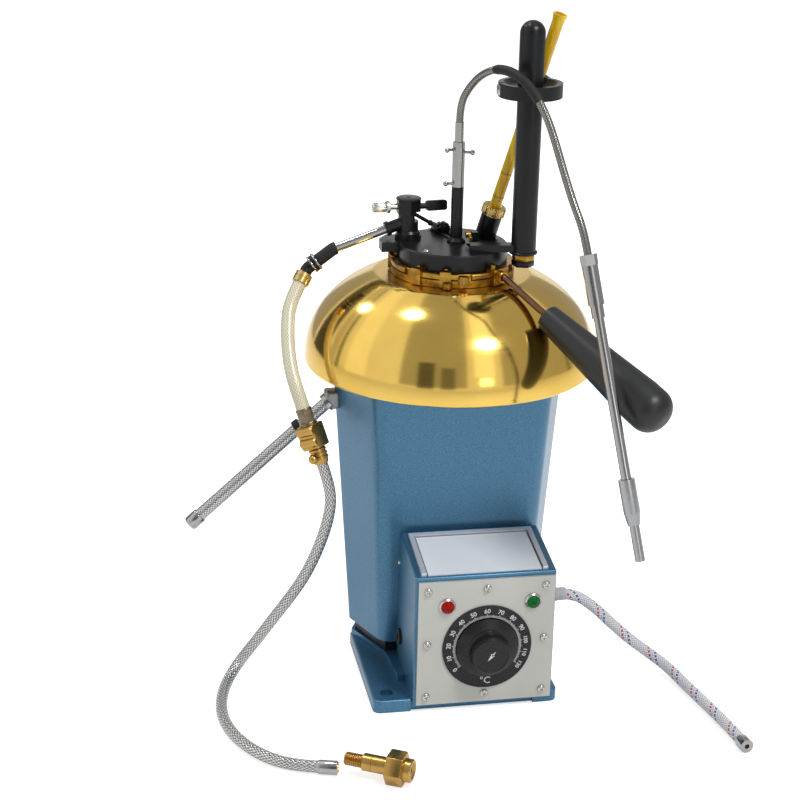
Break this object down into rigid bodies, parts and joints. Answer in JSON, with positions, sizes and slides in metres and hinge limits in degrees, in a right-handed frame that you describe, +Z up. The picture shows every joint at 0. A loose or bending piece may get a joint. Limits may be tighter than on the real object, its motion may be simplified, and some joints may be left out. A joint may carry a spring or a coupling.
{
  "type": "flash point tester",
  "caption": "Bench instrument with a heated cup under a brass bell, a lid with stirrer, gas flame, thermometer and post, and a control box with a dial.",
  "frame": {"origin": "on the cup's axis, at the underside of the base", "axes": "+Z up along the cup's axis, -Y out of the control box's front panel, +X to the right of someone facing the panel"},
  "size_m": [0.3378, 0.2843, 0.4335],
  "materials": {
    "blue_paint": "hammered metallic blue",
    "black_paint": "satin black",
    "panel_white": "satin off-white",
    "polished_brass": "polished",
    "brass": "machined",
    "steel": "brushed",
    "nickel": "bright plated",
    "black_plastic": "satin",
    "black_rubber": "dull",
    "iron": "as cast",
    "aluminium": "turned",
    "amber": "tinted, clear",
    "lens": "moulded",
    "lens_green": "moulded",
    "yellow_hose": "braid inside a clear skin",
    "steel_braid": "woven wire",
    "white_braid": "woven with coloured tracers",
    "label": "bare plate",
    "dark_bronze": "darkened"
  },
  "bodies": {
    "stand": {"base_plate": "blue_paint", "plinth": "black_paint", "body_shell": "blue_paint", "top_plate": "blue_paint", "air_bath": "iron", "heater": "iron", "dome_cover": "polished_brass", "control_box": "blue_paint", "front_panel": "panel_white", "panel_screws": "nickel", "label_frame": "blue_paint", "label_plate": "label", "dial_plate": "black_plastic", "lamp_bezels": "nickel", "lamp_lenses": "lens", "regulator": "black_plastic", "side_grommet": "black_rubber", "cable_gland": "black_plastic", "mains_cable": "white_braid", "cable_ferrule": "steel", "arm_clamp": "steel", "support_arm": "steel_braid", "gas_adaptor": "brass"},
    "knob": {"control_knob": "black_plastic"},
    "cup": {"cup": "brass", "cup_ring": "brass", "ring_fittings": "brass", "handle_rod": "dark_bronze", "handle_grip": "black_plastic"},
    "lid": {"lid_plate": "black_paint", "flame_tower": "black_paint", "gas_tube": "steel", "tube_sleeve": "black_rubber", "hose_elbow": "black_paint", "top_ferrule": "brass", "gas_hose_upper": "yellow_hose", "hose_coupling": "brass", "gas_hose_lower": "steel_braid", "hose_ferrule": "steel", "stirrer_bearing": "black_paint", "coupling_sleeve": "steel", "flexible_shaft": "steel_braid", "drive_union": "steel", "drive_rod": "steel", "drive_fitting": "aluminium", "thermometer_socket": "black_paint", "thermometer_tube": "amber", "support_post": "black_paint", "post_bar": "black_paint", "post_nuts": "brass", "post_collar": "black_paint"},
    "stirrer": {"stirrer": "steel"},
    "needle_valve": {"needle_knob": "nickel"},
    "wing_valve": {"gas_wing": "black_plastic"},
    "shutter": {"shutter": "brass"},
    "lever": {"lever_spindle": "steel"},
    "flame": {"flame_tip": "brass"},
    "thermometer_nut": {"thermometer_nut": "brass"},
    "drive_end": {"drive_spindle": "aluminium"}
  },
  "joints": [
    {"name": "knob_turn", "type": "hinge", "parent": "stand", "child": "knob", "pos_m": [0.0083, -0.1009, 0.0453], "axis": [0, 1, 0], "range_deg": [0, 300]},
    {"name": "cup_lift", "type": "slide", "parent": "stand", "child": "cup", "axis": [0, 0, 1], "range_m": [0, 0.075]},
    {"name": "lid_lift", "type": "slide", "parent": "cup", "child": "lid", "axis": [0, 0, 1], "range_m": [0, 0.08]},
    {"name": "stirrer_turn", "type": "hinge", "parent": "lid", "child": "stirrer", "pos_m": [0.002, 0, 0.2852], "axis": [0, 0, 1], "continuous": true},
    {"name": "drive_turn", "type": "hinge", "parent": "lid", "child": "drive_end", "pos_m": [0.0824, -0.17, 0.1335], "axis": [0.1497, -0.2794, -0.9484], "continuous": true},
    {"name": "lever_turn", "type": "hinge", "parent": "lid", "child": "lever", "pos_m": [-0.027, 0.013, 0.2952], "axis": [0, 0, -1], "range_deg": [0, 45], "stiffness_Nm_per_rad": 0.02},
    {"name": "shutter_turn", "type": "hinge", "parent": "lid", "child": "shutter", "pos_m": [0.002, 0, 0.27995], "axis": [0, 0, 1], "range_deg": [0, 42]},
    {"name": "flame_dip", "type": "hinge", "parent": "lid", "child": "flame", "pos_m": [0.009, -0.0035, 0.2905], "axis": [1, 0, 0], "range_deg": [0, 40]},
    {"name": "wing_turn", "type": "hinge", "parent": "lid", "child": "wing_valve", "pos_m": [-0.027, 0.013, 0.3055], "axis": [0.9903, 0.1392, 0], "range_deg": [0, 90]},
    {"name": "needle_turn", "type": "hinge", "parent": "lid", "child": "needle_valve", "pos_m": [-0.027, 0.013, 0.3061], "axis": [-0.9945, -0.1045, 0], "range_deg": [0, 360]},
    {"name": "nut_turn", "type": "hinge", "parent": "lid", "child": "thermometer_nut", "pos_m": [0.0227, 0.0086, 0.2852], "axis": [0.2356, -0.1735, 0.9562], "range_deg": [0, 360]}
  ],
  "couplings": [
    {"joint": "drive_turn", "follows": "stirrer_turn", "ratio": 1},
    {"joint": "shutter_turn", "follows": "lever_turn", "ratio": 0.9333},
    {"joint": "flame_dip", "follows": "lever_turn", "ratio": 0.8888}
  ]
}
